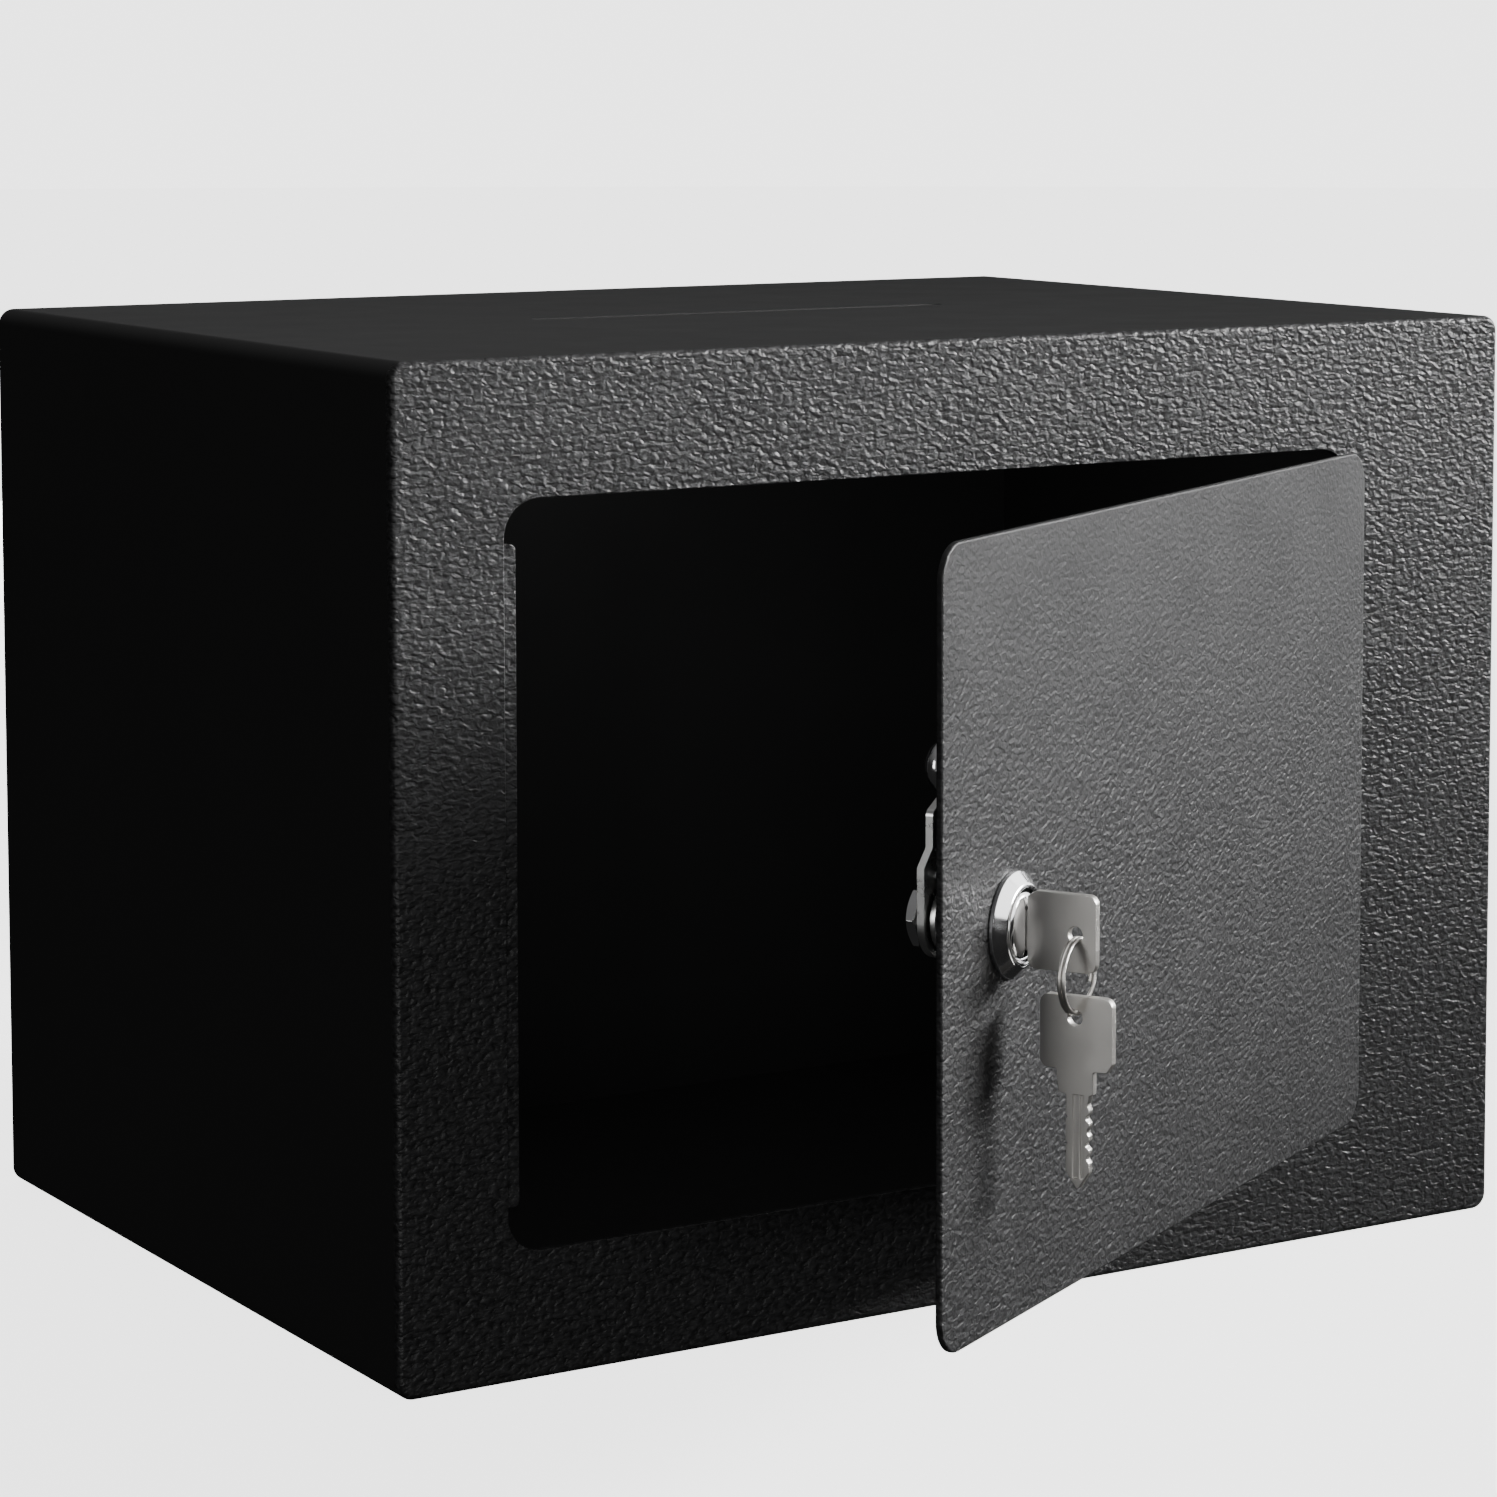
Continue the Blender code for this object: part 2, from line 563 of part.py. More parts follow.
def key_outline():
    """Outline in (u, w): bow with round corners, short neck, blade with cuts and a pointed tip."""
    round_r = 1.5
    points = arc((round_r, BOW_LOW + round_r), round_r, pi, 3 * pi / 2, 4)
    points += arc((BOW_LENGTH - round_r, BOW_LOW + round_r), round_r, -pi / 2, 0, 4)
    neck_end = BOW_LENGTH + NECK_LENGTH
    points += [(BOW_LENGTH, NECK_LOW), (neck_end, NECK_LOW + 0.4), (neck_end + 0.3, -BLADE_HALF)]
    blade_start, tip_start, cut_pitch, cut_depth = neck_end + 0.6, KEY_LENGTH - 2.6, 2.1, 0.55
    cuts = int((tip_start - blade_start) / cut_pitch)
    lower, upper = [], []
    for i in range(cuts):
        middle = blade_start + cut_pitch * (i + 0.5)
        depth = cut_depth * (0.4 + 0.6 * (i * 3 % 5) / 4)
        upper += [(middle - 0.7, 1), (middle - 0.25, 1 - depth / BLADE_HALF),
                  (middle + 0.25, 1 - depth / BLADE_HALF), (middle + 0.7, 1)]
        if i % 2:
            lower += [(middle - 0.4, 1), (middle, 1 - 0.3 / BLADE_HALF), (middle + 0.4, 1)]
    points += [(u, -w * BLADE_HALF) for u, w in lower]
    points += [(tip_start, -BLADE_HALF), (KEY_LENGTH, -0.15), (KEY_LENGTH, 0.25), (tip_start, BLADE_HALF)]
    points += [(u, w * BLADE_HALF) for u, w in reversed(upper)]
    points += [(neck_end + 0.3, BLADE_HALF), (neck_end, NECK_HIGH), (BOW_LENGTH, NECK_HIGH)]
    points += [(BOW_LENGTH, BOW_HIGH - 0.9), (BOW_LENGTH - 1.4, BOW_HIGH)]
    points += arc((round_r, BOW_HIGH - round_r), round_r, pi / 2, pi, 4)
    return points


def key(name, parent, frame, steel):
    """A flat key. frame maps (u, w, thickness) to the parent's axes."""
    half = KEY_SHEET / 2
    blank = make(name, prism(key_outline(), -half, half), steel, parent)
    blank.matrix_local = frame
    hole = prism(circle(KEY_HOLE_R, 24, (KEY_HOLE_U, KEY_HOLE_W)), -2 * half, 2 * half)
    groove_start, groove_end = BOW_LENGTH + NECK_LENGTH + 0.8, KEY_LENGTH - 1.4
    groove = box((groove_start, -0.45, half - 0.35), (groove_end, 0.45, half + 1))
    for tool, mesh in (("hole", hole), ("groove", groove)):
        carve(blank, tool, mesh)
        bpy.data.objects[f"{name}_{tool}"].matrix_local = frame


def key_frame(bow_end, along, across):
    """Matrix that puts u on along and w on across, starting at the bow's end."""
    along, across = Vector(along), Vector(across)
    columns = (along, across, along.cross(across))
    rotation = Matrix(columns).transposed().to_4x4()
    return Matrix.Translation(Vector(bow_end) * MM) @ rotation


def split_ring(lock, steel):
    """Two flat turns of wire side by side, joined by a short ramp. The ring's plane is X-Y."""
    steps, ramp, sides = 40, 5, 8
    total = 2 * steps - ramp
    top = Vector((0.0, KEY_HOLE_W + RING_PLAY + WIRE_R - KEY_HOLE_R, KEY_SEAT_Z - KEY_HOLE_U))
    centre = top - Vector((0.0, RING_R, 0.0))
    loops = []
    for i in range(total + 1):
        turn = -0.35 + tau * i / steps
        rise = min(max((i - (steps - ramp)) / ramp, 0.0), 1.0)
        shift = RING_PITCH * (rise * rise * (3 - 2 * rise) - 0.5)
        out = Vector((cos(turn), sin(turn), 0.0))
        loop = []
        for k in range(sides):
            a = tau * k / sides
            offset = out * (RING_R + WIRE_R * cos(a)) + Vector((0, 0, shift + WIRE_R * sin(a)))
            loop.append(centre + offset)
        loops.append(loop)
    make("split_ring", loft(loops, closed=False), steel, lock)


def main():
    clear_scene()
    satin_black = metal("satin_black_paint", (0.012, 0.012, 0.013), 0.42, 0.0)
    textured_black = metal("textured_black_paint", (0.02, 0.02, 0.021), 0.5, 0.0)
    steel = metal("zinc_steel", (0.55, 0.55, 0.54), 0.35, 1.0)
    chrome = metal("chrome", (0.8, 0.8, 0.8), 0.1, 1.0)
    nickel = metal("satin_nickel", (0.62, 0.6, 0.57), 0.3, 1.0)
    brass = metal("brass", (0.72, 0.5, 0.2), 0.3, 1.0)

    cabinet_wrap(satin_black)
    front_panel(textured_black)
    back_panel(satin_black)
    strike_strip(textured_black)
    latch_keeper(satin_black)

    door = empty("door_pivot", location=(PIVOT_X, PIVOT_Y, 0), rotation=(0, 0, DOOR_OPEN))
    for which, height in HINGE_HEIGHTS.items():
        hinge_bracket(which, height, satin_black)
        hinge_pin(which, height, steel)
        hinge_arm(which, height, door, satin_black)
    door_panel(door, textured_black)
    weld_stud(door, steel)
    cap_nut(door, chrome)

    lock = empty("lock_axis", door, (LOCK_X - PIVOT_X, FRONT_Y - PIVOT_Y, LOCK_Z), (pi / 2, 0, 0))
    lock_barrel(lock, chrome)
    lock_washer(lock, steel)
    lock_nut(lock, steel)
    lock_plug(lock, chrome)
    for number, depth in enumerate(WAFER_DEPTHS):
        wafer(number, depth, lock, brass)
    stop_washer(lock, steel)
    lock_cam(lock, steel)
    cam_spring_washer(lock, steel)
    cam_nut(lock, chrome)

    key("key_1", lock, key_frame((0, 0, KEY_SEAT_Z), (0, 0, -1), (0, 1, 0)), nickel)
    ring_low = KEY_HOLE_W + RING_PLAY + WIRE_R - KEY_HOLE_R - 2 * RING_R
    hole_y = ring_low + WIRE_R + RING_PLAY - KEY_HOLE_R
    hanging = (0, hole_y + KEY_HOLE_U, KEY_SEAT_Z - KEY_HOLE_U - KEY_HOLE_W)
    key("key_2", lock, key_frame(hanging, (0, -1, 0), (0, 0, 1)), nickel)
    split_ring(lock, nickel)


main()
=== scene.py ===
"""Looks of the small steel key safe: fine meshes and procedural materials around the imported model.

Every piece is modelled in millimetres in the frame of the part it belongs to (the cabinet, the
closed door about its pivot, or the lock along its axis) and is then moved to its place at rest.
"""

import json
from math import acos, cos, pi, radians, sin, sqrt, tau

import bmesh
import bpy
from mathutils import Matrix, Vector

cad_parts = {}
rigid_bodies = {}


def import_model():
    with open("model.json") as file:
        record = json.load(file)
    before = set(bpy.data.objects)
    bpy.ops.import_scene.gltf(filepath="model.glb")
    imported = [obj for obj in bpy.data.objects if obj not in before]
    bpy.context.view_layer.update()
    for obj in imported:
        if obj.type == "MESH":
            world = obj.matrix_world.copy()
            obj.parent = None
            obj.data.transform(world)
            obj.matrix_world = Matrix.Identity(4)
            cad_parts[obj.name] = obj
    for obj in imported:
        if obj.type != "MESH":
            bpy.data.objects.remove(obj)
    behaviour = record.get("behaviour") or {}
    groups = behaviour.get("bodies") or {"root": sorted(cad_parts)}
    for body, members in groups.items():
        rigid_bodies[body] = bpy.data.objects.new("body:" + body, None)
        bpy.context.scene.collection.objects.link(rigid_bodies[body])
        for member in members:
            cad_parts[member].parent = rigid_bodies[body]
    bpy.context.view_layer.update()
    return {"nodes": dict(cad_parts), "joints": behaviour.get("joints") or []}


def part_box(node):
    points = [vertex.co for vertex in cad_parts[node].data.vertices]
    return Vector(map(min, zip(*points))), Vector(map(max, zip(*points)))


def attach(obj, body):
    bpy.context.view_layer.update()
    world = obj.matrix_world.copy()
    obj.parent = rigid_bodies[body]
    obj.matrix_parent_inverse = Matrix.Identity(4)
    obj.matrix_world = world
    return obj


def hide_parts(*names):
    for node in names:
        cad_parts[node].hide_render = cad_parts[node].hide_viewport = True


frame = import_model()

MM = 0.001
JOINTS = {joint["name"]: joint for joint in frame["joints"]}

# Cabinet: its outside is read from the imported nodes. A rectangle is left, low, right, high.
BODY_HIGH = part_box("cabinet_wrap")[1] / MM
FRONT_LOW, FRONT_HIGH = (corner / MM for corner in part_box("front_panel"))
HALF_WIDTH, HEIGHT = BODY_HIGH.x, BODY_HIGH.z
FRONT_Y, BACK_Y = FRONT_LOW.y, BODY_HIGH.y
SHEET = FRONT_HIGH.y - FRONT_LOW.y
FACE = (-HALF_WIDTH, 0.0, HALF_WIDTH, HEIGHT)
LONG_EDGE_R, FRONT_EDGE_R = 3.0, 1.0
OPENING = (-94.6, 21.7, 79.6, 146.8)
OPENING_R = 6.3
SLOT = (-42.8, 0.5, 46.9, 3.5)

# Door and lock frames at rest
DOOR_OPEN = radians(-JOINTS["door_swing"]["range_deg"][0])
PIVOT = Vector(JOINTS["door_swing"]["pos_m"]) / MM
PIVOT.z = 0.0
DOOR_FRAME = Matrix.Translation(PIVOT) @ Matrix.Rotation(DOOR_OPEN, 4, "Z")
DOOR_FRONT = FRONT_Y - PIVOT.y
LOCK_POINT = Vector(JOINTS["lock_turn"]["pos_m"]) / MM
LOCK_FRAME = (
    Matrix.Translation(LOCK_POINT)
    @ Matrix.Rotation(DOOR_OPEN, 4, "Z")
    @ Matrix.Rotation(pi / 2, 4, "X")
)
LOCK_IN_DOOR = DOOR_FRAME.inverted() @ LOCK_POINT
IDENTITY = Matrix.Identity(4)

# Door, measured from its pivot
DOOR = (-94.1 - PIVOT.x, 22.2, 78.6 - PIVOT.x, 146.4)
DOOR_SHEET, DOOR_R = 1.2, 6.0


# Mesh helpers ------------------------------------------------------------------------------


def arc(centre, radius, start, end, steps):
    """Points round an arc, both ends included; angles are in radians."""
    turns = [start + (end - start) * i / steps for i in range(steps + 1)]
    return [(centre[0] + radius * cos(t), centre[1] + radius * sin(t)) for t in turns]


def circle(radius, steps, centre=(0.0, 0.0)):
    return arc(centre, radius, 0.0, tau, steps)[:-1]


def rounded_rect(left, low, right, high, radius, steps=14):
    """Outline of a rectangle with round corners, each in a number of steps."""
    corners = [
        ((right - radius, low + radius), -pi / 2),
        ((right - radius, high - radius), 0.0),
        ((left + radius, high - radius), pi / 2),
        ((left + radius, low + radius), pi),
    ]
    points = []
    for centre, start in corners:
        points += arc(centre, radius, start, start + pi / 2, steps)
    return points


def inset_rect(rect, inset):
    left, low, right, high = rect
    return left + inset, low + inset, right - inset, high - inset


def inset_round(rect, radius, inset):
    """A round-cornered rectangle made smaller all round, or larger if inset is negative."""
    return rounded_rect(*inset_rect(rect, inset), radius - inset)


def flatted_circle(radius, flat):
    """A circle cut by two flats, left and right, at a distance flat from its centre."""
    half, steps = acos(flat / radius), 32
    upper = arc((0, 0), radius, half, pi - half, steps)
    return upper + arc((0, 0), radius, pi + half, tau - half, steps)


def along_y(section):
    """Loops in space from pairs of an outline in x and z and its y."""
    return [[(x, y, z) for x, z in outline] for outline, y in section]


def along_z(section):
    """Loops in space from pairs of an outline in x and y and its z."""
    return [[(x, y, z) for x, y in outline] for outline, z in section]


PLACES = {"XY": lambda a, b, c: (a, b, c), "XZ": lambda a, b, c: (a, c, b)}


def prism(outline, low, high, plane="XY"):
    """An outline in a plane, carried straight from low to high across it."""
    bm = bmesh.new()
    place = PLACES[plane]
    bottom = [bm.verts.new(place(a, b, low)) for a, b in outline]
    top = [bm.verts.new(place(a, b, high)) for a, b in outline]
    bm.faces.new(bottom)
    bm.faces.new(top)
    for i in range(len(outline)):
        j = (i + 1) % len(outline)
        bm.faces.new((bottom[i], bottom[j], top[j], top[i]))
    return bm


def loft(loops, closed):
    """A skin through loops of equal length, either closed on itself or with two end caps."""
    bm = bmesh.new()
    rings = [[bm.verts.new(point) for point in loop] for loop in loops]
    pairs = list(zip(rings, rings[1:]))
    if closed:
        pairs.append((rings[-1], rings[0]))
    for lower, upper in pairs:
        for i in range(len(lower)):
            j = (i + 1) % len(lower)
            bm.faces.new((lower[i], lower[j], upper[j], upper[i]))
    if not closed:
        bm.faces.new(rings[0])
        bm.faces.new(rings[-1])
    return bm


def turned(profile, steps=96, bored=False):
    """A turned piece about Z from (radius, z) pairs; a bored one's profile goes all round."""
    return loft(along_z([(circle(radius, steps), z) for radius, z in profile]), bored)


def box(low, high):
    outline = [(low[0], low[1]), (high[0], low[1]), (high[0], high[1]), (low[0], high[1])]
    return prism(outline, low[2], high[2])


def hexagon(across_flats):
    return circle(across_flats / sqrt(3), 6)


def raw(name, bm):
    """A linked object from a bmesh in millimetres, faces out, not yet placed."""
    bmesh.ops.remove_doubles(bm, verts=bm.verts, dist=1e-5)
    bmesh.ops.recalc_face_normals(bm, faces=bm.faces)
    mesh = bpy.data.meshes.new(name)
    bm.to_mesh(mesh)
    bm.free()
    thing = bpy.data.objects.new(name, mesh)
    bpy.context.scene.collection.objects.link(thing)
    return thing


def apply_modifiers(thing):
    """Swaps the object's mesh for the one that its modifiers make."""
    graph = bpy.context.evaluated_depsgraph_get()
    baked = bpy.data.meshes.new_from_object(thing.evaluated_get(graph))
    thing.modifiers.clear()
    old = thing.data
    thing.data = baked
    bpy.data.meshes.remove(old)


def combine(thing, *tools):
    """Applies pairs of a boolean operation and a bmesh to an object, one after another."""
    for operation, bm in tools:
        helper = raw("helper", bm)
        boolean = thing.modifiers.new("cut", "BOOLEAN")
        boolean.operation = operation
        boolean.object = helper
        apply_modifiers(thing)
        bpy.data.objects.remove(helper, do_unlink=True)


SHORTEST_EDGE = 0.012


def mend(thing):
    """Merges points that lie almost on each other, so that few slivers are left."""
    bm = bmesh.new()
    bm.from_mesh(thing.data)
    bmesh.ops.remove_doubles(bm, verts=bm.verts, dist=SHORTEST_EDGE)
    bmesh.ops.dissolve_degenerate(bm, edges=bm.edges, dist=SHORTEST_EDGE)
    bm.to_mesh(thing.data)
    bm.free()


def soften(thing, width, segments=3):
    """Rounds the sharp edges, as rolled, stamped and painted metal has them."""
    mend(thing)
    bevel = thing.modifiers.new("edges", "BEVEL")
    bevel.width = width
    bevel.segments = segments
    bevel.limit_method = "ANGLE"
    bevel.angle_limit = radians(32)
    bevel.miter_outer = "MITER_ARC"
    apply_modifiers(thing)
    mend(thing)
    return thing


def settle(thing, matrix, body, look, replaces, sharp=38):
    """Places a finished piece, gives it its material and puts it on its body.

    replaces lists the CAD nodes that it stands for, or is None for an added detail. Edges
    sharper than sharp degrees stay crisp."""
    thing.data.transform(Matrix.Scale(MM, 4) @ matrix)
    thing.data.shade_smooth()
    thing.data.set_sharp_from_angle(angle=radians(sharp))
    level = thing.modifiers.new("level", "WEIGHTED_NORMAL")
    level.keep_sharp = True
    level.weight = 90
    apply_modifiers(thing)
    thing.data.materials.clear()
    thing.data.materials.append(look)
    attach(thing, body)
    if replaces:
        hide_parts(*replaces)


def copy_of_node(node, name):
    """A copy of a CAD node's mesh, in millimetres, with its flat faces whole again."""
    mesh = frame["nodes"][node].data.copy()
    mesh.materials.clear()
    mesh.transform(Matrix.Scale(1 / MM, 4))
    bm = bmesh.new()
    bm.from_mesh(mesh)
    bmesh.ops.remove_doubles(bm, verts=bm.verts, dist=1e-3)
    bmesh.ops.dissolve_limit(
        bm, angle_limit=radians(1), verts=bm.verts, edges=bm.edges, use_dissolve_boundaries=False
    )
    return raw(name, bm)


# Materials ---------------------------------------------------------------------------------


# A Mix node repeats its sockets for each kind of value, so they go by index
MIX_FACTOR, MIX_NUMBERS, MIX_COLOURS = 0, (2, 3), (6, 7)
MIX_NUMBER_OUT, MIX_COLOUR_OUT = 0, 2


class Look:
    """A Principled material with a few helpers for its node tree.

    Noise scales are per metre, so a scale of 1000 gives grains about 1 mm across."""

    def __init__(self, name, colour, roughness, metallic=0.0, specular=0.5):
        self.material = bpy.data.materials.new(name)
        self.material.use_nodes = True
        self.tree = self.material.node_tree
        self.shader = self.tree.nodes["Principled BSDF"]
        self.set("Base Color", (*colour, 1.0))
        self.set("Roughness", roughness)
        self.set("Metallic", metallic)
        self.set("Specular IOR Level", specular)
        self.colour = colour
        self.roughness = roughness
        self.place = self.node("ShaderNodeTexCoord").outputs["Object"]

    def node(self, kind, **settings):
        made = self.tree.nodes.new(kind)
        for key, value in settings.items():
            setattr(made, key, value)
        return made

    def link(self, output, target):
        self.tree.links.new(output, target)

    def set(self, socket, value):
        self.shader.inputs[socket].default_value = value

    def stretched(self, scale):
        """Object coordinates with a scale for each axis."""
        mapping = self.node("ShaderNodeMapping")
        mapping.inputs["Scale"].default_value = scale
        self.link(self.place, mapping.inputs["Vector"])
        return mapping.outputs["Vector"]

    def heights(self):
        """The surface's height above the floor, in metres, at rest."""
        split = self.node("ShaderNodeSeparateXYZ")
        self.link(self.place, split.inputs["Vector"])
        return split.outputs["Z"]

    def noise(self, scale, detail=2.0, roughness=0.5, distortion=0.0, vector=None):
        made = self.node("ShaderNodeTexNoise")
        made.inputs["Scale"].default_value = scale
        made.inputs["Detail"].default_value = detail
        made.inputs["Roughness"].default_value = roughness
        made.inputs["Distortion"].default_value = distortion
        self.link(vector or self.place, made.inputs["Vector"])
        return made.outputs["Fac"]

    def remap(self, value, low, high, to_low, to_high):
        """Maps low..high to to_low..to_high and stops at both ends."""
        made = self.node("ShaderNodeMapRange")
        for socket, number in zip(("From Min", "From Max", "To Min", "To Max"),
                                  (low, high, to_low, to_high)):
            made.inputs[socket].default_value = number
        self.link(value, made.inputs["Value"])
        return made.outputs["Result"]

    def math(self, operation, *values):
        made = self.node("ShaderNodeMath", operation=operation)
        for socket, value in zip(made.inputs, values):
            if isinstance(value, float):
                socket.default_value = value
            else:
                self.link(value, socket)
        return made.outputs["Value"]

    def vary_roughness(self, value, low, high, spread):
        """Lets the roughness follow a value, to spread below and above the material's own."""
        self.link(self.remap(value, low, high, self.roughness - spread, self.roughness + spread),
                  self.shader.inputs["Roughness"])

    def vary_colour(self, value, low, high, other):
        """Lets the colour follow a value, from the material's own to another."""
        mix = self.node("ShaderNodeMix", data_type="RGBA")
        for index, colour in zip(MIX_COLOURS, (self.colour, other)):
            mix.inputs[index].default_value = (*colour, 1.0)
        self.link(self.remap(value, low, high, 0.0, 1.0), mix.inputs[MIX_FACTOR])
        self.link(mix.outputs[MIX_COLOUR_OUT], self.shader.inputs["Base Color"])

    def bump(self, height, strength, distance_mm):
        made = self.node("ShaderNodeBump")
        made.inputs["Strength"].default_value = strength
        made.inputs["Distance"].default_value = distance_mm * MM
        self.link(height, made.inputs["Height"])
        self.link(made.outputs["Normal"], self.shader.inputs["Normal"])


# About the middle of the peel's heights, which the flow-out draws them towards
PEEL_MEAN = 0.59


def textured_paint(name="textured_black_paint", roughness=0.44, flow_out=None):
    """Orange-peel powder coat: low bumps about 1 mm across, with painted shade darkening the creases
    between them.

    flow_out gives two heights in metres, between which the coat grows smoother upwards and its
    painted crease shade fainter."""
    look = Look(name, (0.012, 0.012, 0.0123), roughness, specular=0.45)
    grain = look.stretched((0.8, 1.0, 1.25))
    peel = look.noise(880.0, detail=1.0, roughness=0.4, distortion=0.4, vector=grain)
    pits = look.noise(1500.0, detail=1.0, roughness=0.4, distortion=0.2, vector=grain)
    height = look.math("MULTIPLY_ADD", pits, 0.2, peel)
    if flow_out:
        deepest, shallowest = 0.9, 0.3
        depth = look.remap(look.heights(), *flow_out, deepest, shallowest)
        swell = look.math("SUBTRACT", height, PEEL_MEAN)
        height = look.math("MULTIPLY_ADD", swell, depth, PEEL_MEAN)
    look.bump(height, strength=1.0, distance_mm=0.38)
    look.vary_roughness(look.noise(60.0, detail=3.0), 0.3, 0.7, spread=0.03)
    # Painted shade: the colour follows the bump height, dark in the creases and lighter on the tops
    look.vary_colour(height, 0.42, 0.76, (0.034, 0.034, 0.035))
    return look.material


def satin_paint():
    """Smoother powder coat on the sleeve and the hidden brackets, with a fine grain."""
    look = Look("satin_black_paint", (0.026, 0.026, 0.0263), roughness=0.40, specular=0.3)
    look.bump(look.noise(1500.0), strength=0.2, distance_mm=0.05)
    look.vary_roughness(look.noise(70.0, detail=3.0), 0.3, 0.7, spread=0.02)
    look.vary_colour(look.noise(18.0, detail=4.0), 0.3, 0.7, (0.028, 0.028, 0.0283))
    return look.material


def chrome():
    """Bright chrome plate, a little hazy and not quite flat."""
    look = Look("chrome", (0.80, 0.80, 0.81), roughness=0.14, metallic=1.0)
    haze = look.noise(280.0, detail=4.0, roughness=0.6)
    look.vary_roughness(haze, 0.35, 0.7, spread=0.04)
    look.bump(look.noise(320.0), strength=0.08, distance_mm=0.02)
    return look.material


def zinc_steel():
    """Zinc plate: cloudy, with the faint lines of a stamped or cut blank."""
    look = Look("zinc_steel", (0.60, 0.60, 0.59), roughness=0.30, metallic=1.0)
    haze = look.noise(330.0, detail=4.0, roughness=0.6)
    look.vary_roughness(haze, 0.3, 0.75, spread=0.05)
    clouds = look.noise(240.0, detail=3.0, roughness=0.6)
    look.vary_colour(clouds, 0.3, 0.75, (0.54, 0.54, 0.535))
    lines = look.noise(900.0, roughness=0.6, vector=look.stretched((1.0, 1.0, 0.12)))
    look.bump(lines, strength=0.08, distance_mm=0.02)
    return look.material


def satin_nickel():
    """Nickel-plated key blanks, finely brushed up and down and a little scuffed."""
    look = Look("satin_nickel", (0.62, 0.605, 0.58), roughness=0.38, metallic=1.0)
    brushed = look.noise(2200.0, roughness=0.6, vector=look.stretched((1.0, 1.0, 0.05)))
    look.bump(brushed, strength=0.08, distance_mm=0.02)
    scuffs = look.noise(260.0, detail=4.0, roughness=0.6)
    look.vary_roughness(scuffs, 0.3, 0.7, spread=0.04)
    look.vary_colour(look.noise(120.0, detail=4.0), 0.35, 0.65, (0.57, 0.555, 0.53))
    return look.material


def brass():
    """Plain brass strip, a little tarnished in patches."""
    look = Look("brass", (0.72, 0.50, 0.20), roughness=0.28, metallic=1.0)
    look.vary_roughness(look.noise(500.0, detail=4.0), 0.35, 0.65, spread=0.07)
    look.vary_colour(look.noise(300.0, detail=4.0), 0.35, 0.65, (0.58, 0.38, 0.15))
    look.bump(look.noise(1800.0), strength=0.12, distance_mm=0.02)
    return look.material


PEEL, SATIN, CHROME, ZINC, NICKEL, BRASS = (
    make() for make in (textured_paint, satin_paint, chrome, zinc_steel, satin_nickel, brass)
)
# The door's coat is shallower than the front panel's, and smoothest near the top, where its painted
# crease shade is faintest
THIN_PEEL = textured_paint("textured_black_paint_door", roughness=0.49, flow_out=(0.085, 0.14))


# Cabinet -----------------------------------------------------------------------------------


def quarter_round(radius, steps):
    """(inset from the side, setback from the face) pairs round a convex edge, face first."""
    return [
        (radius * (1 - sin(pi / 2 * i / steps)), radius * (1 - cos(pi / 2 * i / steps)))
        for i in range(steps + 1)
    ]


def front_frame():
    """The front panel: outer edge rolled over, opening's edges softened by the paint."""
    lip = quarter_round(0.18, 4)
    rear = FRONT_Y + SHEET
    section = [(inset_round(FACE, LONG_EDGE_R, inset), FRONT_Y + setback)
               for inset, setback in quarter_round(FRONT_EDGE_R, 8)]
    section.append((rounded_rect(*FACE, LONG_EDGE_R), rear))
    section += [(inset_round(OPENING, OPENING_R, -outset), rear - setback)
                for outset, setback in lip]
    section += [(inset_round(OPENING, OPENING_R, -outset), FRONT_Y + setback)
                for outset, setback in reversed(lip)]
    settle(raw("front_frame", loft(along_y(section), True)), IDENTITY, "cabinet", PEEL,
           ["front_panel"])


def sleeve():
    """The bent sleeve, closed up to the front panel, with rounded rear rim and slot lips."""
    front = FRONT_Y + SHEET
    rim = quarter_round(0.5, 5)
    section = [(rounded_rect(*FACE, LONG_EDGE_R), front)]
    section += [(inset_round(FACE, LONG_EDGE_R, inset), BACK_Y - setback)
                for inset, setback in reversed(rim)]
    section += [(inset_round(FACE, LONG_EDGE_R, SHEET - inset), BACK_Y - setback)
                for inset, setback in rim]
    section.append((inset_round(FACE, LONG_EDGE_R, SHEET), front))
    wrap = raw("sleeve", loft(along_y(section), True))
    combine(wrap, ("DIFFERENCE", slot_cutter()))
    settle(wrap, IDENTITY, "cabinet", SATIN, ["cabinet_wrap"])


def slot_cutter():
    """What is cut out of the top for the deposit slot, wider at the top for a rounded lip."""
    corner, steps = (SLOT[3] - SLOT[1]) / 2 - 0.01, 8
    lips = [(rounded_rect(*inset_rect(SLOT, -outset), corner + outset, steps), HEIGHT - setback)
            for outset, setback in quarter_round(0.4, 4)]
    lips.insert(0, (lips[0][0], HEIGHT + 1))
    lips.append((rounded_rect(*SLOT, corner, steps), HEIGHT - 3 * SHEET))
    return loft(along_z(lips), False)


def back_plate():
    """Plate let into the sleeve's rear end and welded to it all round."""
    low, high = (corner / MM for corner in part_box("back_panel"))
    outline = inset_round(FACE, LONG_EDGE_R, SHEET)
    settle(raw("back_plate", prism(outline, low.y, high.y, "XZ")), IDENTITY, "cabinet", SATIN,
           ["back_panel"])


